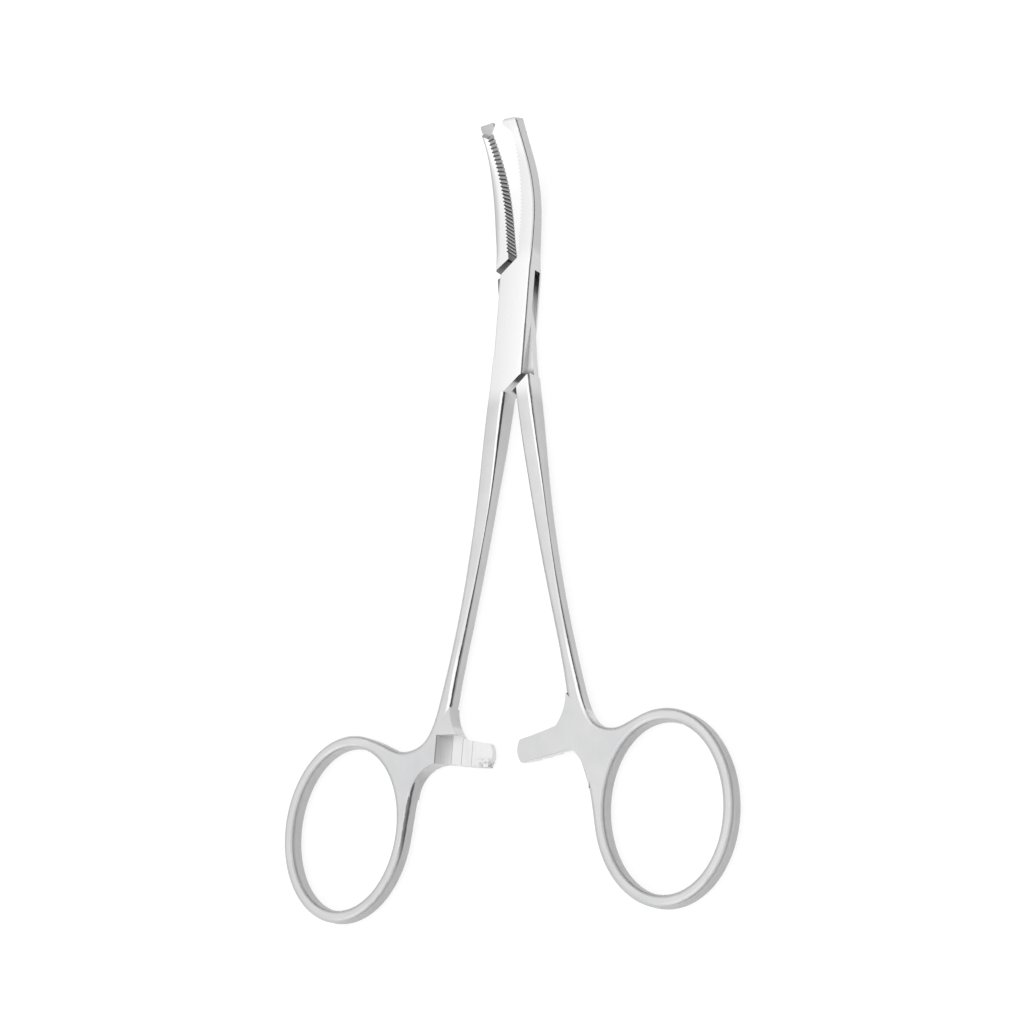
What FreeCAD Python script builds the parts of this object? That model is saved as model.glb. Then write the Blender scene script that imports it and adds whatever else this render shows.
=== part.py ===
"""Curved box-lock haemostatic forceps: two forged halves and the pin they turn on.

Frame: +Z up out of the ring plane, +Y towards the jaws, origin on the pivot
axis at the underside of the box. The forceps lie on their back, jaws curving
up, and each half is drawn closed and then turned half the opening angle.
"""
import FreeCAD, Part
import math
import os

import Sketcher

from FreeCAD import Placement, Rotation, Vector

os.makedirs("parts", exist_ok=True)
doc = FreeCAD.newDocument("haemostat")

# Driving dimensions, millimetres and degrees
SIZES = [
    ("opening_angle", 8.2),
    ("box_depth", 3.9),
    ("box_left_width", 2.92),
    ("box_right_width", 2.72),
    ("box_skew", 42.3),
    ("box_end_upper", 8.17),
    ("box_end_lower", 7.85),
    ("box_front_round", 0.5),
    ("box_back_round", 0.65),
    ("rear_plate", 0.8),
    ("slot_height", 1.5),
    ("slot_radius", 9.75),
    ("tongue_clearance", 0.04),
    ("tongue_end_clearance", 0.15),
    ("jaw_shoulder_skew", 30.0),
    ("jaw_shoulder_end", 9.7),
    ("shank_shoulder_skew", 36.4),
    ("shank_shoulder_end", 8.7),
    ("pin_radius", 1.2),
    ("pin_running_clearance", 0.03),
    ("mating_offset", 0.2),
    ("female_jaw_width", 2.9),
    ("female_tip_width", 1.72),
    ("male_jaw_width", 2.1),
    ("male_tip_width", 0.92),
    ("jaw_straight_end", 17.3),
    ("jaw_bend_radius", 23.0),
    ("jaw_bend_angle", 41.8),
    ("jaw_rise_start", 8.0),
    ("jaw_depth", 2.7),
    ("jaw_tip_depth", 2.4),
    ("jaw_tip_slant", 26.0),
    ("jaw_front_round", 0.38),
    ("jaw_back_round", 0.6),
    ("jaw_inner_round", 0.35),
    ("groove_pitch", 0.62),
    ("groove_depth", 0.3),
    ("groove_width", 0.46),
    ("groove_start", 12.6),
    ("tooth_height", 1.3),
    ("tooth_length", 2.3),
    ("tooth_clearance", 0.09),
    ("tooth_inset", 0.05),
    ("bar_depth", 2.75),
    ("shank_root_y", 5.0),
    ("shank_taper_start", 9.5),
    ("shank_taper_end", 34.0),
    ("shank_waist_y", 47.0),
    ("shank_waist_x", 5.0),
    ("shank_waist_width", 2.1),
    ("shank_end_rise", 8.5),
    ("shank_end_x", 6.95),
    ("shank_end_width", 2.5),
    ("outer_bow", 0.45),
    ("inner_bow", 0.68),
    ("root_round", 0.25),
    ("shank_round", 0.6),
    ("shank_end_round", 0.9),
    ("ring_round", 0.7),
    ("ring_bar", 1.9),
    ("ring_hole_half_width", 9.6),
    ("ring_hole_half_length", 12.65),
    ("female_ring_x", 23.85),
    ("female_ring_drop", 11.1),
    ("male_ring_x", 20.8),
    ("male_ring_drop", 12.3),
    ("ratchet_radius", 68.0),
    ("ratchet_width", 3.7),
    ("female_arm_reach", 1.4),
    ("male_arm_reach", 2.9),
    ("ratchet_pitch", 1.84),
    ("ratchet_height", 0.55),
    ("ratchet_teeth", 3),
    ("ratchet_pad", 3.4),
    ("scoop_length", 2.3),
    ("ratchet_clearance", 0.06),
]
sheet = doc.addObject("Spreadsheet::Sheet", "Sizes")
for row, (alias, value) in enumerate(SIZES, start=1):
    sheet.set(f"A{row}", alias)
    sheet.set(f"B{row}", str(value))
    sheet.setAlias(f"B{row}", alias)
doc.recompute()


def size(alias):
    return float(sheet.get(alias))


FAR = 200.0


def along_x(x):
    """Placement of a sketch whose own X and Y lie along Y and Z, at this x."""
    return Placement(Vector(x, 0, 0), Rotation(Vector(1, 1, 1), 120))


def jaw_frame(travel):
    """Placement on the front edge of a mating face, Y along the jaw and Z out of the front."""
    inner = size("mating_offset")
    start = size("jaw_straight_end")
    radius = size("jaw_bend_radius")
    top = size("box_depth")
    if travel <= start:
        return Placement(Vector(inner, travel, top), Rotation())
    angle = (travel - start) / radius
    place = Vector(inner, start + radius * math.sin(angle), top + radius * (1 - math.cos(angle)))
    return Placement(place, Rotation(Vector(1, 0, 0), math.degrees(angle)))


# Length of the front face from the pivot to the tip, measured round the bend
TIP_TRAVEL = size("jaw_straight_end") + size("jaw_bend_radius") * math.radians(size("jaw_bend_angle"))
BAR_BOTTOM = (size("box_depth") - size("bar_depth")) / 2
BAR_TOP = BAR_BOTTOM + size("bar_depth")
SHANK_END = size("shank_end_rise") - size("ratchet_radius")


def flank(side):
    """Distance of the box's side from the pivot, right for +1 and left for -1."""
    return size("box_right_width") if side > 0 else size("box_left_width")


def line(start, end):
    return Part.LineSegment(Vector(*start), Vector(*end))


def curve(points, first=None, last=None):
    """Smooth curve through points, with its end directions where they matter."""
    made = Part.BSplineCurve()
    vectors = [Vector(*point) for point in points]
    if first is None:
        made.interpolate(vectors)
    else:
        made.interpolate(Points=vectors, InitialTangent=Vector(*first), FinalTangent=Vector(*last))
    return made


def bezier(points):
    made = Part.BezierCurve()
    made.setPoles([Vector(*point) for point in points])
    return made.toBSpline()


def sketch(name, edges, placement=None):
    made = doc.addObject("Sketcher::SketchObject", name)
    if placement is not None:
        made.Placement = placement
    made.addGeometry(edges, False)
    return made


def polygon(points):
    return [line(a, b) for a, b in zip(points, points[1:] + points[:1])]


def extrusion(name, outline, length, back="0 mm"):
    """Solid drawn out of a sketch, forward by one expression and back by another."""
    made = doc.addObject("Part::Extrusion", name)
    made.Base = outline
    made.DirMode = "Normal"
    made.Solid = True
    made.setExpression("LengthFwd", length)
    made.setExpression("LengthRev", back)
    return made


def common(name, *pieces):
    made = doc.addObject("Part::MultiCommon", name)
    made.Shapes = list(pieces)
    return made


def fuse(name, *pieces):
    made = doc.addObject("Part::MultiFuse", name)
    made.Shapes = list(pieces)
    made.Refine = True
    return made


def cut(name, base, tool):
    made = doc.addObject("Part::Cut", name)
    made.Base = base
    made.Tool = tool
    return made


def rounded(name, base, pick):
    """Fillet of every edge for which pick gives a radius at each of its two ends."""
    doc.recompute()
    made = doc.addObject("Part::Fillet", name)
    made.Base = base
    chosen = []
    for number, edge in enumerate(base.Shape.Edges, start=1):
        ends = [edge.valueAt(edge.FirstParameter), edge.valueAt(edge.LastParameter)]
        if edge.Orientation == "Reversed":
            ends.reverse()
        middle = edge.valueAt((edge.FirstParameter + edge.LastParameter) / 2)
        radii = pick(ends, middle)
        if radii:
            chosen.append((number, radii[0], radii[1]))
    made.Edges = chosen
    return made


def cylinder(name, radius, height, z="0 mm"):
    made = doc.addObject("Part::Cylinder", name)
    made.setExpression("Radius", radius)
    made.setExpression("Height", height)
    made.setExpression("Placement.Base.z", z)
    return made


# Shank, web and finger ring: side is +1 with the ring at +X, -1 with it at -X

def ring_oval(side, ring_x, ring_y, extra):
    centre = Vector(side * ring_x, -ring_y, 0)
    half_length = size("ring_hole_half_length") + extra
    half_width = size("ring_hole_half_width") + extra
    top = centre + Vector(0, half_length, 0)
    return Part.Ellipse(top, centre - Vector(half_width, 0, 0), centre)


def oval_join(oval, side, turn):
    """Point and upward direction on the oval, this many degrees from its top towards the shank."""
    angle = math.radians(side * turn)
    place = oval.value(angle)
    heading = oval.tangent(angle)[0] * -side
    return (place.x, place.y), (heading.x, heading.y)


def bowed(start, end, bow, share):
    """Point part of the way from start to end, sagging inwards by a bow greatest half way."""
    x = start[0] + (end[0] - start[0]) * share - bow * 4 * share * (1 - share)
    return (x, start[1] + (end[1] - start[1]) * share)


def handle_outline(side, ring_x, ring_y):
    """Closed outline of the shank, the web and the outside of the ring."""
    root = -size("shank_root_y")
    waist = -size("shank_waist_y")
    waist_x = size("shank_waist_x")
    half_waist = size("shank_waist_width") / 2
    half_end = size("shank_end_width") / 2
    end_x = size("shank_end_x")
    below = -size("ratchet_radius")
    ring_side = ring_x - size("ring_hole_half_width") - size("ring_bar")
    oval = ring_oval(side, ring_x, ring_y, size("ring_bar"))

    outer = [(flank(side), root), (waist_x + half_waist, waist), (end_x + half_end, SHANK_END)]
    inner = [(0.1, root), (waist_x - half_waist, waist), (end_x - half_end, SHANK_END)]
    for share in (0.5, 0.21):
        outer.insert(1, bowed(outer[0], (waist_x + half_waist, waist), size("outer_bow"), share))
        inner.insert(1, bowed(inner[0], (waist_x - half_waist, waist), size("inner_bow"), share))
    edge = end_x + half_end
    crotch = [(edge + 1.25, SHANK_END - 4.7), (edge + 2.6, below + 1.8), (edge + 5.0, below + 0.75)]
    web = [(ring_side - 0.55, 4.6 - ring_y), (ring_side - 1.7, 9.0 - ring_y)]
    top_turn = 11
    low_turn = 100
    top_join = oval_join(oval, side, top_turn)
    low_join = oval_join(oval, side, low_turn)
    turns = [low_turn, 360 + top_turn] if side > 0 else [-top_turn, 360 - low_turn]

    def mirror(point):
        return (side * point[0], point[1])

    outer_curve = curve([mirror(p) for p in outer], mirror((0.0, -1.0)), mirror((0.19, -0.98)))
    crotch_points = [mirror(p) for p in [outer[-1]] + crotch] + [top_join[0]]
    crotch_curve = curve(crotch_points, mirror((0.19, -0.98)), top_join[1])
    ring_curve = Part.ArcOfEllipse(oval, math.radians(turns[0]), math.radians(turns[1]))
    web_curve = curve(
        [low_join[0], mirror(web[0]), mirror(web[1]), mirror(inner[-1])],
        low_join[1],
        mirror((-0.1, 1.0)),
    )
    inner_curve = curve([mirror(p) for p in reversed(inner)], mirror((-0.1, 1.0)), mirror((0.0, 1.0)))
    cap = line(mirror(inner[0]), mirror(outer[0]))
    return [outer_curve, crotch_curve, ring_curve, web_curve, inner_curve, cap]


def handle_depths():
    """Side view of the handle: full box depth at the top, bar depth from the shanks down."""
    top = size("box_depth")
    start = -size("shank_taper_start")
    end = -size("shank_taper_end")
    middle = (start + end) / 2
    back_points = [(start, 0), (middle, 0), (middle, BAR_BOTTOM), (end, BAR_BOTTOM)]
    front_points = [(start, top), (middle, top), (middle, BAR_TOP), (end, BAR_TOP)]
    return [
        line((0, 0), back_points[0]),
        bezier(back_points),
        line(back_points[-1], (-FAR, BAR_BOTTOM)),
        line((-FAR, BAR_BOTTOM), (-FAR, BAR_TOP)),
        line((-FAR, BAR_TOP), front_points[-1]),
        bezier(front_points),
        line(front_points[0], (0, top)),
        line((0, top), (0, 0)),
    ]


def handle(prefix, side):
    ring_x = size(prefix + "_ring_x")
    ring_y = size("ratchet_radius") + size(prefix + "_ring_drop")
    plan = sketch(prefix + "_handle_plan", handle_outline(side, ring_x, ring_y))
    blank = extrusion(prefix + "_handle_blank", plan, "Sizes.box_depth")
    profile = sketch(prefix + "_handle_side", handle_depths(), along_x(0))
    depths = extrusion(prefix + "_handle_depths", profile, "60 mm", "60 mm")
    forged = common(prefix + "_handle_forging", blank, depths)
    hole_oval = ring_oval(side, ring_x, ring_y, 0)
    hole_plan = sketch(prefix + "_ring_hole", [hole_oval])
    hole = extrusion(prefix + "_ring_punch", hole_plan, "Sizes.box_depth")
    pierced = cut(prefix + "_handle_pierced", forged, hole)
    root = -size("shank_taper_start")
    full = -size("shank_taper_end")

    def radius_at(y):
        if y < SHANK_END - 1.0:
            return size("ring_round")
        if y < full:
            share = (full - y) / (full - SHANK_END)
            return size("shank_round") + (size("shank_end_round") - size("shank_round")) * share
        share = (root - min(y, root)) / (root - full)
        return size("root_round") + (size("shank_round") - size("root_round")) * share

    def pick(ends, middle):
        upright = abs(ends[0].z - ends[1].z) > 2.0
        crosswise = abs(ends[0].y - ends[1].y) < 0.01 and ends[0].y > full - 1.0
        if upright or crosswise or ends[0].y > root + 0.01 or ends[1].y > root + 0.01:
            return None
        return radius_at(ends[0].y), radius_at(ends[1].y)

    return rounded(prefix + "_handle", pierced, pick)


# Ratchet arm: drawn at full depth, then cut back to half of it with the teeth left standing

def polar(radius, x):
    """Point at this distance below the pivot, for a given X."""
    return (x, -math.sqrt(radius * radius - x * x))


def arc(start, middle, end):
    return Part.Arc(Vector(*start), Vector(*middle), Vector(*end))


def arm_outline(side, reach, ring_x, ring_y):
    half = size("ratchet_width") / 2
    shank_x = size("shank_end_x") - size("shank_end_width") / 2
    below = -size("ratchet_radius")
    ring_side = ring_x - size("ring_hole_half_width") - size("ring_bar")

    def at(point):
        return Vector(side * point[0], point[1], 0)

    def near(x):
        return (x, polar(-below - half, x)[1] + 0.15 * x)

    def far(x):
        return (x, polar(-below + half, x)[1] + 0.05 * x)

    points = {
        "shank": (shank_x + 0.25, SHANK_END - 1.2),
        "flare": (shank_x - 0.55, SHANK_END - 4.2),
        "near_root": near(shank_x - 1.8),
        "near_middle": near(shank_x - 4.0),
        "near_tip": near(0.5 - reach),
        "tip": (-reach, below - 0.1),
        "far_tip": far(0.5 - reach),
        "far_middle": far(shank_x - 2.5),
        "far_root": far(shank_x + 0.6),
        "ring_flare": (ring_side - 1.6, below - 3.1),
        "ring": (ring_side - 0.35, 4.6 - ring_y),
        "inside": (ring_side + 0.5, 8.0 - ring_y),
        "web": (shank_x + 1.6, SHANK_END - 3.0),
    }
    place = {name: at(point) for name, point in points.items()}
    return [
        Part.Arc(place["shank"], place["flare"], place["near_root"]),
        Part.Arc(place["near_root"], place["near_middle"], place["near_tip"]),
        Part.Arc(place["near_tip"], place["tip"], place["far_tip"]),
        Part.Arc(place["far_tip"], place["far_middle"], place["far_root"]),
        Part.Arc(place["far_root"], place["ring_flare"], place["ring"]),
        Part.LineSegment(place["ring"], place["inside"]),
        Part.LineSegment(place["inside"], place["web"]),
        Part.LineSegment(place["web"], place["shank"]),
    ]


def ratchet_profile(side, reach, facing):
    """Side view of what is cut away: a scoop at the root, three saw teeth and a sloping pad."""
    overlap = size("female_arm_reach") + size("male_arm_reach")
    pad = size("ratchet_pad")
    rise = size("ratchet_height")
    gap = rise * overlap / pad + size("ratchet_clearance")
    middle = size("box_depth") / 2
    base = middle - gap / 2
    away = size("box_depth") + 1.0

    def at(u, z):
        height = z if facing > 0 else size("box_depth") - z
        return (side * -u, height)

    crest = reach - pad
    points = [at(reach + 1.0, away), at(reach + 1.0, base + 0.1), at(reach, base + 0.1)]
    for tooth in range(int(size("ratchet_teeth"))):
        points.append(at(crest, base + rise))
        points.append(at(crest, base))
        crest -= size("ratchet_pitch")
    foot = points[-1]
    mouth = at(crest + size("ratchet_pitch") - size("scoop_length"), BAR_TOP)
    hollow = at(crest + size("ratchet_pitch") - 0.45 * size("scoop_length"), base + 0.2)
    edges = [line(a, b) for a, b in zip(points, points[1:])]
    edges.append(arc(foot, hollow, mouth))
    edges.append(line(mouth, at(crest - 3.0, away)))
    edges.append(line(at(crest - 3.0, away), points[0]))
    return edges


def armed_handle(prefix, side, facing):
    reach = size(prefix + "_arm_reach")
    ring_x = size(prefix + "_ring_x")
    ring_y = size("ratchet_radius") + size(prefix + "_ring_drop")
    plan = sketch(prefix + "_arm_plan", arm_outline(side, reach, ring_x, ring_y))
    plan.Placement = Placement(Vector(0, 0, BAR_BOTTOM), Rotation())
    block = extrusion(prefix + "_arm_block", plan, "Sizes.bar_depth")
    whole = fuse(prefix + "_handle_whole", handle(prefix, side), block)
    standing = Placement(Vector(0, -size("ratchet_radius") + 3.0, 0), Rotation(Vector(1, 0, 0), 90))
    profile = sketch(prefix + "_ratchet_profile", ratchet_profile(side, reach, facing), standing)
    teeth = extrusion(prefix + "_ratchet_cutter", profile, "6 mm")
    return cut(prefix + "_toothed_handle", whole, teeth)


# Jaws: plan outline and side view in common, then grooves, and teeth at the tip

def jaw_outline(prefix, side):
    """Plan of a jaw: parallel as far as the bend, then narrowing to the tip."""
    start = size("jaw_straight_end")
    bend = size("jaw_bend_radius") * math.sin(math.radians(size("jaw_bend_angle")))
    wide = size(prefix + "_jaw_width")
    tip = size(prefix + "_tip_width")
    root = flank(side) if prefix == "female" else wide + 0.25
    outer = [(side * root, start - 8.3), (side * wide, start - 4.3), (side * (wide - 0.02), start)]
    for along, share in ((0.22, 0.87), (0.42, 0.66), (0.62, 0.36), (0.75, 0.15), (0.9, 0.0)):
        outer.append((side * (tip + (wide - tip) * share), start + bend * along))
    inner = size("mating_offset")
    end = start + size("jaw_bend_radius")
    return [
        line((inner, 0), (side * root, 0)),
        line((side * root, 0), outer[0]),
        curve(outer, (0.0, 1.0), (side * -0.05, 1.0)),
        line(outer[-1], (side * (tip - 0.05), end)),
        line((side * (tip - 0.05), end), (inner, end)),
        line((inner, end), (inner, 0)),
    ]


def jaw_point(angle, depth):
    """Side view point under the bend's front face, this far round it and this deep."""
    start = size("jaw_straight_end")
    radius = size("jaw_bend_radius")
    y = start + (radius + depth) * math.sin(angle)
    return (y, size("box_depth") + radius - (radius + depth) * math.cos(angle))


def jaw_depths():
    """Side view of a jaw: out of the box, thinned from behind, then bent up to the tip."""
    start = size("jaw_straight_end")
    rise = size("jaw_rise_start")
    top = size("box_depth")
    angle = math.radians(size("jaw_bend_angle"))
    depth = size("jaw_depth")
    tip = jaw_point(angle, 0)
    heel = jaw_point(angle, size("jaw_tip_depth"))
    back = [
        (rise, 0),
        (rise + 0.45 * (start - rise), 0.6 * (top - depth)),
        (start, top - depth),
        jaw_point(angle / 2, depth),
        heel,
    ]
    return [
        line((0, 0), back[0]),
        curve(back, (1.0, 0.0), (math.cos(angle), math.sin(angle))),
        line(heel, tip),
        arc(tip, jaw_point(angle / 2, 0), (start, top)),
        line((start, top), (0, top)),
        line((0, top), (0, 0)),
    ]


def jaw(prefix, side):
    plan = sketch(prefix + "_jaw_plan", jaw_outline(prefix, side))
    blank = extrusion(prefix + "_jaw_blank", plan, "30 mm")
    profile = sketch(prefix + "_jaw_side", jaw_depths(), along_x(0))
    depths = extrusion(prefix + "_jaw_depths", profile, "10 mm", "10 mm")
    forged = common(prefix + "_jaw_forging", blank, depths)
    outer = size(prefix + "_tip_width") * 0.6

    def pick(ends, middle):
        along = abs(ends[0].y - ends[1].y) > 0.5
        front = middle.z > jaw_front(middle.y) - 0.3
        inner = abs(middle.x) < outer
        if not along or (inner and front):
            return None
        radius = size("jaw_front_round") if front else size("jaw_back_round")
        if inner:
            radius = size("jaw_inner_round")
        return radius, radius

    return rounded(prefix + "_jaw_body", forged, pick)


def jaw_front(y):
    """Height of the front face above the table at this distance from the pivot."""
    beyond = max(y - size("jaw_straight_end"), 0.0)
    radius = size("jaw_bend_radius")
    return size("box_depth") + radius - math.sqrt(max(radius * radius - beyond * beyond, 0.0))


def grooves(prefix, side):
    """V cuts across the mating face, from the box to the foot of the tip tooth."""
    half = size("groove_width") / 2
    deep = size("groove_depth")
    proud = 0.02
    below = -size("box_depth") - 1.0
    corners = [
        Vector(-side * proud, -half, below),
        Vector(side * deep, 0, below),
        Vector(-side * proud, half, below),
    ]
    face = Part.Face(Part.makePolygon(corners + corners[:1]))
    prism = face.extrude(Vector(0, 0, 1.0 - below))
    cuts = []
    travel = size("groove_start")
    while travel < TIP_TRAVEL - size("tooth_length") - size("groove_pitch") / 2:
        copy = prism.copy()
        copy.Placement = jaw_frame(travel)
        cuts.append(copy)
        travel += size("groove_pitch")
    made = doc.addObject("Part::Feature", prefix + "_grooves")
    made.Shape = Part.makeCompound(cuts)
    return made


def tip_block(name, side, points, low, high):
    """Prism on the tip's own axes, between two depths under the front face."""
    placement = jaw_frame(TIP_TRAVEL).multiply(Placement(Vector(0, 0, -high), Rotation()))
    mirrored = [(side * x, v) for x, v in points]
    plan = sketch(name + "_plan", polygon(mirrored), placement)
    made = doc.addObject("Part::Extrusion", name)
    made.Base = plan
    made.DirMode = "Normal"
    made.Solid = True
    made.LengthFwd = high - low
    return made


def hook_points(reach, length):
    """Tooth seen from the front: rising off the mating face, rounded over at the tip."""
    return [
        (0.4, -length),
        (0.0, -length),
        (-0.47 * reach, -0.72 * length),
        (-0.87 * reach, -0.48 * length),
        (-reach, -0.33 * length),
        (-0.92 * reach, -0.15 * length),
        (-0.5 * reach, -0.02 * length),
        (0.4, -0.02 * length),
    ]


def tip_round(prefix, side, radius):
    """What is cut off the outer corner of the tip, a quarter round of this radius."""
    name = prefix + "_tip_round"
    width = size(prefix + "_tip_width") - 0.02 - side * size("mating_offset")
    corner = Vector(side * (width - radius), -radius, 0)
    start = corner + Vector(side * radius, 0, 0)
    middle = corner + Vector(side * radius, radius, 0) * math.sqrt(0.5)
    end = corner + Vector(0, radius, 0)
    outside = [end + Vector(0, 1, 0), start + Vector(side, radius + 1, 0), start + Vector(side, 0, 0)]
    edges = [
        Part.Arc(start, middle, end),
        Part.LineSegment(end, outside[0]),
        Part.LineSegment(outside[0], outside[1]),
        Part.LineSegment(outside[1], outside[2]),
        Part.LineSegment(outside[2], start),
    ]
    placement = jaw_frame(TIP_TRAVEL).multiply(Placement(Vector(0, 0, -5), Rotation()))
    plan = sketch(name + "_plan", edges, placement)
    return extrusion(name, plan, "8 mm")


def tip_slant(name):
    """What is cut off the end of a tip so that its back is shorter than its front."""
    angle = math.radians(size("jaw_bend_angle"))
    below = size("jaw_tip_depth") + 0.5
    back = below * math.tan(math.radians(size("jaw_tip_slant"))) / (size("jaw_bend_radius") + below)
    beyond = angle + 0.2
    outline = [jaw_point(angle, 0), jaw_point(angle - back, below), jaw_point(beyond, below), jaw_point(beyond, 0)]
    return extrusion(name, sketch(name + "_side", polygon(outline), along_x(0)), "10 mm", "10 mm")


def toothed_jaw(prefix, side):
    """Jaw with grooves, and at the tip one middle tooth (male) or two outer ones (female)."""
    depth = size("jaw_tip_depth")
    third = depth / 3
    gap = size("tooth_clearance")
    reach = size("tooth_height")
    length = size("tooth_length")
    body = jaw(prefix, side)
    hook = hook_points(reach, length)
    if prefix == "male":
        tooth = tip_block("male_tooth", side, hook, third, depth - third)
        whole = fuse("male_jaw_whole", body, tooth)
        slope = [(-2.0, -length - 0.3), (0.0, -length - 0.3), (2.4, -length + 1.5), (2.4, 1.0), (-2.0, 1.0)]
        front = tip_block("male_notch_front", side, slope, -1.0, third)
        back = tip_block("male_notch_back", side, slope, depth - third, depth + 1.0)
        tools = [front, back, tip_round("male", side, 1.0)]
    else:
        edge = third - gap
        inset = size("tooth_inset")
        front = tip_block("female_tooth_front", side, hook, inset, edge)
        back = tip_block("female_tooth_back", side, hook, depth - edge, depth - inset)
        whole = fuse("female_jaw_whole", body, front, back)
        slot = [(-2.0, -length - 0.6), (reach + gap, -length + 0.4), (reach + gap, 1.0), (-2.0, 1.0)]
        notch = tip_block("female_notch", side, slot, edge, depth - edge)
        tools = [notch, tip_round("female", side, 0.8)]
    tools.append(tip_slant(prefix + "_tip_slant"))
    tool = fuse(prefix + "_jaw_cuts", grooves(prefix, side), *tools)
    return cut(prefix + "_toothed_jaw", whole, tool)


# Box lock: two plates joined by the female half, the male half's tongue between them

def end_height(x, distance, skew):
    """Y at this X on a line this far from the pivot, rising at the skew angle."""
    slope = math.radians(skew)
    return distance / math.cos(slope) + x * math.tan(slope)


def end_zone(upper, upper_skew, lower, lower_skew):
    """Four-sided outline between two skewed lines, well past both sides of the box."""
    reach = 12.0
    return polygon(
        [
            (-reach, end_height(-reach, upper, upper_skew)),
            (-reach, end_height(-reach, -lower, lower_skew)),
            (reach, end_height(reach, -lower, lower_skew)),
            (reach, end_height(reach, upper, upper_skew)),
        ]
    )


def female_box():
    """Both plates of the box before it is slotted, ending on skewed lines beside jaw and shank."""
    skew = size("box_skew")
    upper = size("box_end_upper")
    lower = -size("box_end_lower")
    left = -size("box_left_width")
    right = size("box_right_width")
    behind_jaw = size("mating_offset") + 0.3
    jaw_side = size("jaw_rise_start")
    shank_side = -size("slot_radius") - 1.2
    meeting = (shank_side - end_height(0, lower, skew)) / math.tan(math.radians(skew))
    outline = [
        (left, shank_side),
        (meeting, shank_side),
        (right, end_height(right, lower, skew)),
        (right, jaw_side),
        (behind_jaw, jaw_side),
        (behind_jaw, end_height(behind_jaw, upper, skew)),
        (left, end_height(left, upper, skew)),
    ]
    plates = extrusion("box_plates", sketch("box_plan", polygon(outline)), "Sizes.box_depth")

    def pick(ends, middle):
        along = abs(ends[0].y - ends[1].y) > 5 and abs(ends[0].z - ends[1].z) < 0.1
        if not along or left + 0.01 < middle.x < right - 0.01:
            return None
        radius = size("box_front_round") if middle.z > 1 else size("box_back_round")
        return radius, radius

    return rounded("box", plates, pick)


def passage(name, x, y):
    """Block on one side of the mating plane and of the pivot, as high as the slot."""
    made = doc.addObject("Part::Box", name)
    made.Length = 12
    made.Width = 14
    made.setExpression("Height", "Sizes.slot_height")
    made.setExpression("Placement.Base.z", "Sizes.rear_plate")
    made.Placement.Base.x = x
    made.Placement.Base.y = y
    return made


def female_half():
    body = fuse("female_body", armed_handle("female", -1, 1), female_box(), toothed_jaw("female", 1))
    slot = fuse(
        "slot",
        cylinder("slot_disc", "Sizes.slot_radius", "Sizes.slot_height", "Sizes.rear_plate"),
        passage("jaw_passage", size("mating_offset") - 12, 0),
        passage("shank_passage", 0, -14),
        cylinder("plate_bore", "Sizes.pin_radius", "Sizes.box_depth"),
    )
    return finished("female_half", body, slot, -1)


def recess(name, zone, height, up, down):
    plan = sketch(name + "_plan", zone)
    plan.setExpression("Placement.Base.z", height)
    return extrusion(name, plan, up, down)


def male_half():
    body = fuse("male_solid", armed_handle("male", 1, -1), toothed_jaw("male", -1))
    zone = end_zone(
        size("jaw_shoulder_end"),
        size("jaw_shoulder_skew"),
        size("shank_shoulder_end"),
        size("shank_shoulder_skew"),
    )
    tongue_top = "Sizes.rear_plate + Sizes.slot_height - Sizes.tongue_clearance"
    tongue_bottom = "Sizes.rear_plate + Sizes.tongue_clearance"
    front = recess("front_recess", zone, tongue_top, "Sizes.box_depth", "0 mm")
    back = recess("back_recess", zone, tongue_bottom, "0 mm", "Sizes.box_depth")
    disc = cylinder(
        "tongue_disc",
        "Sizes.slot_radius - Sizes.tongue_end_clearance",
        "Sizes.slot_height - 2 * Sizes.tongue_clearance",
        tongue_bottom,
    )
    strip = doc.addObject("Part::Box", "tongue_strip")
    strip.setExpression("Length", "Sizes.box_left_width + Sizes.box_right_width")
    strip.setExpression("Width", "2 * Sizes.slot_radius")
    strip.setExpression("Height", "Sizes.box_depth")
    strip.setExpression("Placement.Base.x", "-Sizes.box_left_width")
    strip.setExpression("Placement.Base.y", "-Sizes.slot_radius")
    tongue = common("tongue", disc, strip)
    recessed = cut("male_recessed", body, fuse("male_recesses", front, back))
    necked = fuse("male_body", recessed, tongue)
    bore = cylinder("tongue_bore", "Sizes.pin_radius + Sizes.pin_running_clearance", "Sizes.box_depth")
    return finished("male_half", necked, bore, 1)


def finished(name, base, tool, turn):
    """The last cut of a half, named as its piece and turned open about the pivot axis."""
    made = cut(name, base, tool)
    made.Placement = Placement(Vector(0, 0, 0), Rotation(Vector(0, 0, turn), 1))
    made.setExpression("Placement.Rotation.Angle", "Sizes.opening_angle / 2")
    return made


def joint_pin():
    body = doc.addObject("PartDesign::Body", "joint_pin")
    plane = [item for item in body.Origin.OriginFeatures if item.Role == "XY_Plane"][0]
    circle = body.newObject("Sketcher::SketchObject", "pin_circle")
    circle.AttachmentSupport = [(plane, "")]
    circle.MapMode = "FlatFace"
    circle.addGeometry(Part.Circle(Vector(0, 0, 0), Vector(0, 0, 1), size("pin_radius")), False)
    circle.addConstraint(Sketcher.Constraint("Coincident", 0, 3, -1, 1))
    circle.addConstraint(Sketcher.Constraint("Radius", 0, size("pin_radius")))
    circle.setExpression("Constraints[1]", "Sizes.pin_radius")
    pad = body.newObject("PartDesign::Pad", "pin_pad")
    pad.Profile = circle
    pad.setExpression("Length", "Sizes.box_depth")
    return body


pieces = [female_half(), male_half(), joint_pin()]
doc.recompute()

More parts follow.
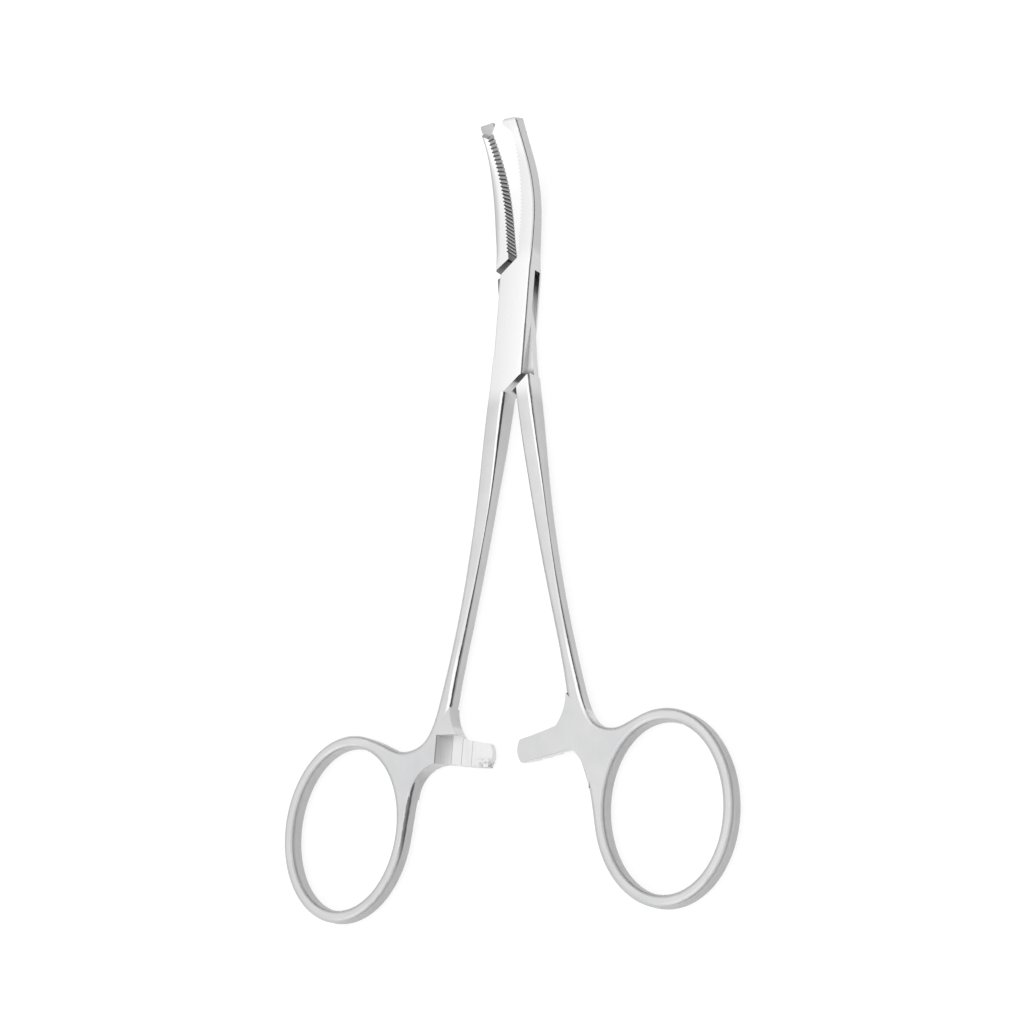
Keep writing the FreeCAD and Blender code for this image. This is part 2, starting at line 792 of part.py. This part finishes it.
for item in doc.Objects:
    if "Invalid" in item.State or "Error" in item.State:
        raise RuntimeError(f"{item.Label} did not build: {item.State}")
for piece in pieces:
    shape = piece.Shape
    if shape.isNull() or not shape.isValid() or len(shape.Solids) != 1:
        raise RuntimeError(f"{piece.Label} is not one sound solid")
for piece in pieces:
    piece.Shape.exportStep(f"parts/{piece.Label}.step")
    print(f"{piece.Label}: {piece.Shape.Volume:.1f} mm3, {piece.Shape.BoundBox}")
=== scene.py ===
"""Curved box-lock haemostatic forceps in satin ground steel, on a pale studio floor."""
import math
from types import SimpleNamespace

import bpy
from mathutils import Matrix, Vector


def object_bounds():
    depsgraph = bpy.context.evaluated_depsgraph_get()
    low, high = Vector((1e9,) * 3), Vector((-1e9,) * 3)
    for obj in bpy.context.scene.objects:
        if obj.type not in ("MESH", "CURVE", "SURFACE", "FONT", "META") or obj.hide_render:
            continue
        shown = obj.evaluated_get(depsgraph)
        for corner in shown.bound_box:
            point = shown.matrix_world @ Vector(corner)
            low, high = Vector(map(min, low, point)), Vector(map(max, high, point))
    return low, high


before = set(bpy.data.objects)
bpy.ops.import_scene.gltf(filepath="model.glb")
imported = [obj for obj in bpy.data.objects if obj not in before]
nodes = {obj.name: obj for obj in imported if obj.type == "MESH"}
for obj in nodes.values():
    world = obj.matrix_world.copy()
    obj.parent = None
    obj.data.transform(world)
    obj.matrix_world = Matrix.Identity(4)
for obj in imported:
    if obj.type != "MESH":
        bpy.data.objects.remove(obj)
cad_low, cad_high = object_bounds()

HALF_OPEN = math.radians(4.1)
FEMALE, MALE = -1, 1

# Places on a closed half from the pivot, jaws at +Y: a pair is where a mask starts and ends to change
MATING_PLANE = 0.0002
BOX_END = (0.0100, 0.0135)
SHANK_START, SHANK_END = (-0.0140, -0.0100), (-0.0630, -0.0570)
RECESS_LENGTH, RECESS_HEIGHT = (0.0132, 0.0140), (0.0036, 0.0037)
RECESS_UPPER, RECESS_LOWER = (0.0048, 0.0078), (-0.0086, -0.0072)
GRIP_START, GRIP_DEPTH, GROOVE_DEPTH = (0.0106, 0.0108), (0.00034, 0.00036), (0.00003, 0.00016)
# Span over which the painted shade on the grip's mating faces eases off toward the tip
GRIP_SHADE_FADE = (0.0210, 0.0290)
JAW_START, JAW_END, JAW_WIDTH, TIP_WIDTH = 0.0120, 0.0330, 0.0021, 0.00092
JAW_BORDER = (0.0001, 0.0010)
FEMALE_TIP, MALE_TIP = (0.0322, 0.0327), (0.0306, 0.0314)
EDGE_END = (-0.0640, -0.0600)
HANDLE_START = (-0.0700, -0.0600)
WAIST_START, WAIST_END = (-0.0320, -0.0260), (-0.0560, -0.0500)
ARM_TOP, ARM_FOOT = (-0.0640, -0.0635), (-0.0720, -0.0715)
ARM_HALF_LENGTH, ARM_HEIGHT = (0.0100, 0.0110), (0.0031, 0.0032)
FIRST_CREST, RATCHET_PITCH, RATCHET_TEETH, CREST_LINE = -0.0020, 0.00184, 3, (0.00007, 0.00013)
PAD_START, SCOOP_END, SCOOP_ROUGH_END = (-0.0022, -0.0018), (-0.0064, -0.0054), (-0.0066, -0.0054)
SCOOP_SHADE = (-0.0700, -0.0650)
SPOT_START, SPOT_TOP = (-0.0020, 0.0004), (-0.0698, -0.0680)
RING_EDGE_LEFT, RING_EDGE_TOP, RING_EDGE_FOOT = (-0.0260, -0.0245), (-0.0690, -0.0650), (-0.0880, -0.0800)

# Which way a surface faces, as the share of its normal along X or Z: a pair as above
RECESS_UP, ARM_UP, FLAT_UP = (0.35, 0.5), (-0.2, -0.1), (0.93, 0.99)
LAND_SIDE, GROOVE_SIDE = (0.75, 0.9), (0.2, 0.4)
WALL_UP = (0.15, 0.6)
CORNER_SIDE, CORNER_UP = (0.1, 0.3), (0.5, 0.7)
EDGE_SIDE, FEMALE_EDGE_UP, MALE_EDGE_UP, EDGE_TOP = (0.2, 0.4), (0.09, 0.3), (0.2, 0.3), (0.66, 0.84)
RING_EDGE_FACE = (0.25, 0.4)

# Noise on the steel: scale, detail and, for streaks, the stretch along each axis
STREAKS = (1.0, 3.0, (1400.0, 90.0, 1400.0))
CROSS_STREAKS = (1.0, 2.0, (260.0, 3600.0, 260.0))
GRAIN = (5200.0, 2.0)
CLOUDS = (130.0, 3.0)
SPOTS = (2400.0, 3.0)
NOISE_MIDDLE, SPOT_MIDDLE = (0.3, 0.7), (0.4, 0.62)

# Metal colours
STEEL_DARK = (0.60, 0.602, 0.61, 1)
STEEL_PALE = (0.67, 0.67, 0.675, 1)
# Polished steel, also painted on right-facing roundings as a highlight
STEEL_POLISHED_AND_HIGHLIGHT = (0.82, 0.82, 0.825, 1)
# Nearly black steel, painted in as shade, and as stain for the spots on the female arm
STEEL_SHADE_AND_STAIN = (0.03, 0.03, 0.032, 1)
WHITE = (1, 1, 1, 1)

# How much of the polished colour jaw, teeth and pad have, and how much painted shade each place has
# (stain, for the spots)
JAW_POLISH, TEETH_POLISH, PAD_POLISH = 0.8, 1.0, 0.9
STAIN_AND_SHADE = SimpleNamespace(
    recess_middle=0.2,
    recess_end=0.8,
    groove=0.94,
    land=0.85,
    # Share of the grip's painted shade left at the tip
    grip_shade_at_tip=0.72,
    jaw_wall=0.34,
    wall=0.2,
    female_edge=0.6,
    male_edge=0.45,
    jaw_edge=0.6,
    jaw_corner=0.4,
    handle_corner=0.36,
    waist_corner=0.25,
    tip=0.38,
    male_border=0.32,
    ring_edge=0.75,
    crest=0.35,
    scoop=0.08,
    spots=0.5,
)

# Roughness of the streaks, and what the box, the rims of the rings, the ratchet arm and its scoop add
STREAK_ROUGH, BOX_ROUGH, RIM_ROUGH = (0.13, 0.25), 0.1, 0.32
ARM_ROUGH, SCOOP_ROUGH = (0.3, 0.22), (0.45, 0.2)

# Middle line of a shank, outward from the pivot, as a parabola over the centimetres below it
MIDDLE_AT_PIVOT, MIDDLE_SLOPE, MIDDLE_CURVE = 0.001398, 0.000138, 0.0001337
CENTIMETRES_DOWN = -100.0

# Relief: middle lines of jaw and box, how fast a crowned flat falls away from them, and the grinding marks
JAW_MIDDLE, BOX_MIDDLE = -0.0013, -0.0001
SHANK_CROWN, BOX_CROWN, JAW_CROWN = 34.0, 22.0, 25.0
CROWN_BUMP, GRAIN_BUMP, STREAK_BUMP, CROSS_BUMP = 1.0, 0.25, 0.2, 0.22
METRE, GRIND_DEPTH = 1.0, 0.00002

# Studio floor, and the camera as solved from the outlines of both halves in the photograph
FLOOR_SIZE, FLOOR_TONE, FLOOR_LIFT = 6.0, (0.34, 0.34, 0.34, 1), 0.74
CAMERA_RIGHT = (0.8491, 0.0145, -0.5281)
CAMERA_BACK = (0.5086, -0.2925, 0.8098)
CAMERA_PLACE = (0.2043, -0.1479, 0.3279)
CAMERA_LENS, CAMERA_SENSOR, CAMERA_NEAR, CAMERA_FAR = 91.7, 36.0, 0.01, 10.0

# Sky: grey level at heights from the horizon to overhead, and where the sides and the front fade over
RIGHT_SKY = [(0.0, 0.13), (0.48, 0.15), (0.68, 1.0), (1.0, 1.0)]
LEFT_SKY = [(0.0, 0.46), (0.25, 0.64), (0.6, 0.76), (1.0, 0.82)]
LEFT_TO_RIGHT, FRONT_TO_BACK = (-0.75, 0.1), (-0.6, -0.2)
FRONT_LEVEL, SKY_LEVEL = 1.7, 1.32


class Graph:
    """Adds nodes and sums to one node tree."""

    def __init__(self, tree):
        self.tree = tree

    def add(self, kind, **values):
        """Adds a node and sets its properties and, by name, its input sockets."""
        node = self.tree.nodes.new(kind)
        for key, value in values.items():
            if key in node.inputs:
                node.inputs[key].default_value = value
            else:
                setattr(node, key, value)
        return node

    def link(self, source, socket):
        """Links an output to an input socket."""
        self.tree.links.new(source, socket)

    def split(self, vector):
        """X, Y and Z of a vector."""
        node = self.add("ShaderNodeSeparateXYZ")
        self.link(vector, node.inputs["Vector"])
        return node.outputs["X"], node.outputs["Y"], node.outputs["Z"]

    def maths(self, operation, first, second=None):
        """Result of one operation on sockets or plain numbers."""
        node = self.add("ShaderNodeMath", operation=operation)
        for socket, value in zip(node.inputs, (first, second)):
            if isinstance(value, (int, float)):
                socket.default_value = value
            elif value is not None:
                self.link(value, socket)
        return node.outputs["Value"]

    def chain(self, operation, *values):
        """One operation carried over several values in turn."""
        result = values[0]
        for value in values[1:]:
            result = self.maths(operation, result, value)
        return result

    def product(self, *values):
        """All values multiplied."""
        return self.chain("MULTIPLY", *values)

    def total(self, *values):
        """All values added up."""
        return self.chain("ADD", *values)

    def largest(self, *values):
        """The largest of the values."""
        return self.chain("MAXIMUM", *values)

    def ramp(self, source, span, low=0.0, high=1.0, smooth=False):
        """Goes from low to high while the source crosses the span, and stays level beyond it."""
        kind = "SMOOTHSTEP" if smooth else "LINEAR"
        node = self.add("ShaderNodeMapRange", interpolation_type=kind)
        node.inputs["From Min"].default_value = span[0]
        node.inputs["From Max"].default_value = span[1]
        node.inputs["To Min"].default_value = low
        node.inputs["To Max"].default_value = high
        self.link(source, node.inputs["Value"])
        return node.outputs["Result"]

    def fall(self, source, span, smooth=False):
        """Mask that goes from 1 to 0 across the span."""
        return self.ramp(source, span, 1.0, 0.0, smooth)

    def blend(self, factor, first, second):
        """Colour between two, each a socket or a plain colour."""
        node = self.add("ShaderNodeMix", data_type="RGBA", blend_type="MIX")
        self.link(factor, node.inputs["Factor"])
        for name, value in (("A", first), ("B", second)):
            if isinstance(value, tuple):
                node.inputs[name].default_value = value
            else:
                self.link(value, node.inputs[name])
        return node.outputs["Result"]


def material(name):
    """New node material, its graph and its shader."""
    made = bpy.data.materials.new(name)
    made.use_nodes = True
    return made, Graph(made.node_tree), made.node_tree.nodes["Principled BSDF"]


def noise(graph, place, scale, detail, stretch=None):
    """Noise over the piece, stretched along its axes if asked."""
    node = graph.add("ShaderNodeTexNoise", Scale=scale, Detail=detail, Roughness=0.55)
    if stretch is not None:
        mapping = graph.add("ShaderNodeMapping", Scale=stretch)
        graph.link(place, mapping.inputs["Vector"])
        place = mapping.outputs["Vector"]
    graph.link(place, node.inputs["Vector"])
    return node.outputs["Fac"]


def half_places(graph, texture, side):
    """Place on a half along its own axes, as if the forceps were closed, and where it faces."""
    closed = graph.add("ShaderNodeMapping", Rotation=(0.0, 0.0, -side * HALF_OPEN))
    graph.link(texture.outputs["Object"], closed.inputs["Vector"])
    x, y, z = graph.split(closed.outputs["Vector"])
    facing_x, _, facing_z = graph.split(texture.outputs["Normal"])
    return SimpleNamespace(x=x, y=y, z=z, facing_x=facing_x, facing_z=facing_z)


def half_zones(graph, at, side):
    """Masks of the parts of a half: 1 on the part and 0 off it."""
    ramp, fall, product = graph.ramp, graph.fall, graph.product
    zone = SimpleNamespace()
    reach = graph.maths("ABSOLUTE", at.y)
    sideways = graph.maths("ABSOLUTE", at.facing_x)
    inside = product(graph.maths("SUBTRACT", at.x, MATING_PLANE), -side)

    zone.box = fall(reach, BOX_END, smooth=True)
    zone.jaw = ramp(at.y, BOX_END, smooth=True)
    zone.shank = product(fall(at.y, SHANK_START, smooth=True), ramp(at.y, SHANK_END, smooth=True))
    zone.waist = product(fall(at.y, WAIST_START, smooth=True), ramp(at.y, WAIST_END, smooth=True))
    zone.recess = product(
        fall(reach, RECESS_LENGTH),
        fall(at.z, RECESS_HEIGHT),
        ramp(at.facing_z, RECESS_UP),
    )
    zone.arm = product(
        ramp(at.facing_z, ARM_UP),
        fall(at.z, ARM_HEIGHT),
        fall(graph.maths("ABSOLUTE", at.x), ARM_HALF_LENGTH),
        fall(at.y, ARM_TOP),
        ramp(at.y, ARM_FOOT),
    )
    zone.off_arm = graph.maths("SUBTRACT", 1.0, zone.arm)
    zone.handle = product(zone.off_arm, fall(at.y, HANDLE_START, smooth=True))

    grip = product(ramp(at.y, GRIP_START), fall(inside, GRIP_DEPTH))
    zone.land = product(grip, ramp(sideways, LAND_SIDE))
    zone.groove = product(grip, ramp(inside, GROOVE_DEPTH), ramp(sideways, GROOVE_SIDE))
    zone.tip = ramp(at.y, FEMALE_TIP if side == FEMALE else MALE_TIP, smooth=True)

    # Masks by facing: side walls, right-facing roundings and right-facing edges, where painted shade and a
    # painted highlight go
    zone.wall = fall(graph.maths("ABSOLUTE", at.facing_z), WALL_UP)
    zone.corner = product(ramp(at.facing_x, CORNER_SIDE), ramp(at.facing_z, CORNER_UP))
    zone.edge = product(
        ramp(at.facing_x, EDGE_SIDE),
        ramp(at.facing_z, FEMALE_EDGE_UP if side == FEMALE else MALE_EDGE_UP),
        fall(at.facing_z, EDGE_TOP),
        ramp(at.y, EDGE_END),
    )
    return zone


def female_tones(graph, at, zone, place):
    """Painted shade that only the female half shows: a dark line on the ring's right-facing edge, shadow
    lines at the ratchet crests and shade in the scoop; also stain spots on the arm.
    """
    ramp, fall, product = graph.ramp, graph.fall, graph.product
    # Painted dark line along the right-facing edge of the ring
    ring_edge = product(
        zone.off_arm,
        ramp(at.x, RING_EDGE_LEFT),
        fall(at.y, RING_EDGE_TOP, smooth=True),
        ramp(at.y, RING_EDGE_FOOT, smooth=True),
        ramp(at.facing_x, RING_EDGE_FACE),
        ramp(at.facing_z, RING_EDGE_FACE),
    )
    # Painted shade in the scoop of the ratchet arm, darkest toward its top
    scoop = product(zone.arm, fall(at.x, SCOOP_END, smooth=True), ramp(at.y, SCOOP_SHADE, smooth=True))
    spots = product(
        zone.arm,
        ramp(at.x, SPOT_START, smooth=True),
        fall(at.y, SPOT_TOP, smooth=True),
        ramp(noise(graph, place, *SPOTS), SPOT_MIDDLE, smooth=True),
    )
    tones = [(ring_edge, STAIN_AND_SHADE.ring_edge), (scoop, STAIN_AND_SHADE.scoop), (spots, STAIN_AND_SHADE.spots)]
    # Painted shadow lines along the ratchet crests
    for tooth in range(RATCHET_TEETH):
        crest = FIRST_CREST - tooth * RATCHET_PITCH
        distance = graph.maths("ABSOLUTE", graph.maths("SUBTRACT", at.x, crest))
        tones.append((product(zone.arm, fall(distance, CREST_LINE)), STAIN_AND_SHADE.crest))
    return tones


def male_tones(graph, at, zone):
    """Painted shade along the outer side of the male jaw, in a border that narrows to the tip."""
    taper = (JAW_WIDTH - TIP_WIDTH) / (JAW_END - JAW_START)
    from_side = graph.total(at.x, JAW_WIDTH + JAW_START * taper, graph.product(at.y, -taper))
    border = graph.product(zone.jaw, graph.fall(from_side, JAW_BORDER, smooth=True))
    return [(border, STAIN_AND_SHADE.male_border)]


def shade_stain_amount(graph, at, zone, side, place):
    """How much painted shade darkens the steel: inside the box recess, on the grip's mating faces, on side
    walls, along right-facing edges and roundings and at the tips; on the female arm also stain spots.
    """
    ramp, product = graph.ramp, graph.product
    # Painted shade inside the box recess, light in the middle and deep at both ends of the box
    recess = graph.largest(
        ramp(at.y, RECESS_UPPER, STAIN_AND_SHADE.recess_middle, STAIN_AND_SHADE.recess_end, smooth=True),
        ramp(at.y, RECESS_LOWER, STAIN_AND_SHADE.recess_end, STAIN_AND_SHADE.recess_middle, smooth=True),
    )
    # The painted shade on the grip's mating faces eases off toward the tip
    grip_shade_share = ramp(at.y, GRIP_SHADE_FADE, 1.0, STAIN_AND_SHADE.grip_shade_at_tip)
    # Painted dark line along right-facing edges, lighter on the jaw
    edge = product(zone.edge, ramp(zone.jaw, (0.0, 1.0), 1.0, STAIN_AND_SHADE.jaw_edge))
    # Painted shade on the grip's mating faces, on side walls, on right-facing roundings of jaw, rings and
    # waist, and at the tip
    tones = [
        (product(zone.groove, grip_shade_share), STAIN_AND_SHADE.groove),
        (product(zone.land, grip_shade_share), STAIN_AND_SHADE.land),
        (product(zone.wall, zone.jaw), STAIN_AND_SHADE.jaw_wall),
        (product(zone.wall, zone.off_arm), STAIN_AND_SHADE.wall),
        (edge, STAIN_AND_SHADE.female_edge if side == FEMALE else STAIN_AND_SHADE.male_edge),
        (product(zone.jaw, zone.corner), STAIN_AND_SHADE.jaw_corner),
        (product(zone.handle, zone.corner), STAIN_AND_SHADE.handle_corner),
        (product(zone.waist, zone.corner), STAIN_AND_SHADE.waist_corner),
        (zone.tip, STAIN_AND_SHADE.tip),
    ]
    tones += female_tones(graph, at, zone, place) if side == FEMALE else male_tones(graph, at, zone)
    return graph.largest(product(zone.recess, recess), *[product(mask, amount) for mask, amount in tones])


def steel_colour(graph, at, zone, side, place):
    """Brushed grey, paler on the ground flats of box and jaw, with a painted highlight on right-facing
    roundings, and painted shade and a few stain spots over it.
    """
    product = graph.product
    clouds = graph.ramp(noise(graph, place, *CLOUDS), NOISE_MIDDLE)
    brushed = graph.blend(clouds, STEEL_DARK, STEEL_PALE)
    ground = graph.total(
        zone.box,
        product(zone.jaw, JAW_POLISH),
        product(zone.arm, graph.ramp(at.x, PAD_START, TEETH_POLISH, PAD_POLISH)),
    )
    # Painted highlight: right-facing roundings off the arm take the polished colour too, so ground and
    # polished hold it as well
    ground = graph.largest(ground, product(zone.corner, zone.off_arm))
    polished = graph.blend(ground, brushed, STEEL_POLISHED_AND_HIGHLIGHT)
    # Painted shade, and stain spots on the female arm, darken it to nearly black
    return graph.blend(shade_stain_amount(graph, at, zone, side, place), polished, STEEL_SHADE_AND_STAIN)


def steel_roughness(graph, at, zone, along):
    """Fine streaks, rougher on the box, on the rims of the rings and most on the milled ratchet arm."""
    milled = graph.total(
        graph.ramp(at.x, PAD_START, *ARM_ROUGH),
        graph.ramp(at.x, SCOOP_ROUGH_END, *SCOOP_ROUGH),
    )
    return graph.total(
        graph.ramp(along, NOISE_MIDDLE, *STREAK_ROUGH),
        graph.product(zone.box, BOX_ROUGH),
        graph.product(zone.arm, milled),
        graph.product(zone.handle, graph.ramp(at.facing_z, FLAT_UP, RIM_ROUGH, 0.0)),
    )


def crown(graph, at, zone, side):
    """Height of flats that grinding has crowned over the middle line of shank, box and jaw."""
    outward = graph.product(at.x, side)
    down = graph.product(at.y, CENTIMETRES_DOWN)
    slope = graph.total(graph.product(down, MIDDLE_CURVE), MIDDLE_SLOPE)
    shank_middle = graph.total(graph.product(down, slope), MIDDLE_AT_PIVOT)
    heights = []
    for mask, middle, curve in (
        (zone.shank, shank_middle, SHANK_CROWN),
        (zone.box, BOX_MIDDLE * side, BOX_CROWN),
        (zone.jaw, JAW_MIDDLE, JAW_CROWN),
    ):
        off = graph.maths("SUBTRACT", outward, middle)
        heights.append(graph.product(mask, off, off, -curve))
    return graph.total(*heights)


def relief(graph, layers):
    """Normal bent by heights, each with its strength and the size in metres of one unit."""
    normal = None
    for height, strength, distance in layers:
        bump = graph.add("ShaderNodeBump", Strength=strength, Distance=distance)
        graph.link(height, bump.inputs["Height"])
        if normal is not None:
            graph.link(normal, bump.inputs["Normal"])
        normal = bump.outputs["Normal"]
    return normal


def satin_steel(name, side):
    """Satin ground steel of one half."""
    made, graph, shader = material(name)
    texture = graph.add("ShaderNodeTexCoord")
    place = texture.outputs["Object"]
    at = half_places(graph, texture, side)
    zone = half_zones(graph, at, side)
    along = noise(graph, place, *STREAKS)
    layers = (
        (crown(graph, at, zone, side), CROWN_BUMP, METRE),
        (noise(graph, place, *GRAIN), GRAIN_BUMP, GRIND_DEPTH),
        (along, STREAK_BUMP, GRIND_DEPTH),
        (noise(graph, place, *CROSS_STREAKS), CROSS_BUMP, GRIND_DEPTH),
    )
    graph.link(steel_colour(graph, at, zone, side, place), shader.inputs["Base Color"])
    graph.link(steel_roughness(graph, at, zone, along), shader.inputs["Roughness"])
    graph.link(relief(graph, layers), shader.inputs["Normal"])
    shader.inputs["Metallic"].default_value = 1.0
    return made


def dress_forceps():
    """Gives each piece its steel: the pin is polished over with the female half."""
    female, male = satin_steel("female_steel", FEMALE), satin_steel("male_steel", MALE)
    for name, finish in (("female_half", female), ("joint_pin", female), ("male_half", male)):
        piece = nodes[name]
        piece.data.materials.clear()
        piece.data.materials.append(finish)


def lay_floor():
    """Floor that keeps a soft shadow and looks white to the camera, to metal and to glass."""
    bpy.ops.mesh.primitive_plane_add(size=FLOOR_SIZE, location=(0, 0, cad_low.z))
    floor = bpy.context.object
    floor.name = "floor"
    white, graph, shader = material("floor_white")
    shader.inputs["Base Color"].default_value = FLOOR_TONE
    shader.inputs["Roughness"].default_value = 1.0
    shader.inputs["Specular IOR Level"].default_value = 0.0
    shader.inputs["Emission Color"].default_value = WHITE
    seen = graph.add("ShaderNodeLightPath").outputs
    looked_at = graph.largest(seen["Is Camera Ray"], seen["Is Glossy Ray"], seen["Is Transmission Ray"])
    graph.link(graph.product(looked_at, FLOOR_LIFT), shader.inputs["Emission Strength"])
    floor.data.materials.append(white)


def place_camera():
    """Camera at the photograph's angle."""
    right = Vector(CAMERA_RIGHT).normalized()
    back = Vector(CAMERA_BACK)
    back = (back - right * back.dot(right)).normalized()
    up = back.cross(right)
    camera = bpy.data.objects.new("camera", bpy.data.cameras.new("camera"))
    bpy.context.scene.collection.objects.link(camera)
    stand = Matrix((right, up, back)).transposed().to_4x4()
    stand.translation = Vector(CAMERA_PLACE)
    camera.matrix_world = stand
    camera.data.sensor_width = CAMERA_SENSOR
    camera.data.lens = CAMERA_LENS
    camera.data.clip_start = CAMERA_NEAR
    camera.data.clip_end = CAMERA_FAR
    bpy.context.scene.camera = camera


def sky(graph, height, stops):
    """Grey level of the sky over its height."""
    ramp = graph.add("ShaderNodeValToRGB")
    ramp.color_ramp.interpolation = "EASE"
    while len(ramp.color_ramp.elements) < len(stops):
        ramp.color_ramp.elements.new(0.5)
    for element, (position, level) in zip(ramp.color_ramp.elements, stops):
        element.position = position
        element.color = (level, level, level, 1)
    graph.link(height, ramp.inputs["Fac"])
    return ramp.outputs["Color"]


def light_studio():
    """Soft light from overhead, dimmer to the left, dark low on the right. The camera sees white."""
    world = bpy.data.worlds.new("studio")
    world.use_nodes = True
    bpy.context.scene.world = world
    graph = Graph(world.node_tree)
    background = world.node_tree.nodes["Background"]
    x, y, z = graph.split(graph.add("ShaderNodeTexCoord").outputs["Generated"])
    right_sky, left_sky = sky(graph, z, RIGHT_SKY), sky(graph, z, LEFT_SKY)
    both = graph.blend(graph.ramp(x, LEFT_TO_RIGHT, smooth=True), left_sky, right_sky)
    seen = graph.add("ShaderNodeLightPath").outputs["Is Camera Ray"]
    level = graph.ramp(y, FRONT_TO_BACK, FRONT_LEVEL, SKY_LEVEL, smooth=True)
    unseen = graph.maths("SUBTRACT", 1.0, seen)
    graph.link(graph.total(graph.product(level, unseen), seen), background.inputs["Strength"])
    graph.link(graph.blend(seen, both, WHITE), background.inputs["Color"])


dress_forceps()
lay_floor()
place_camera()
light_studio()
bpy.context.scene.view_settings.view_transform = "Standard"
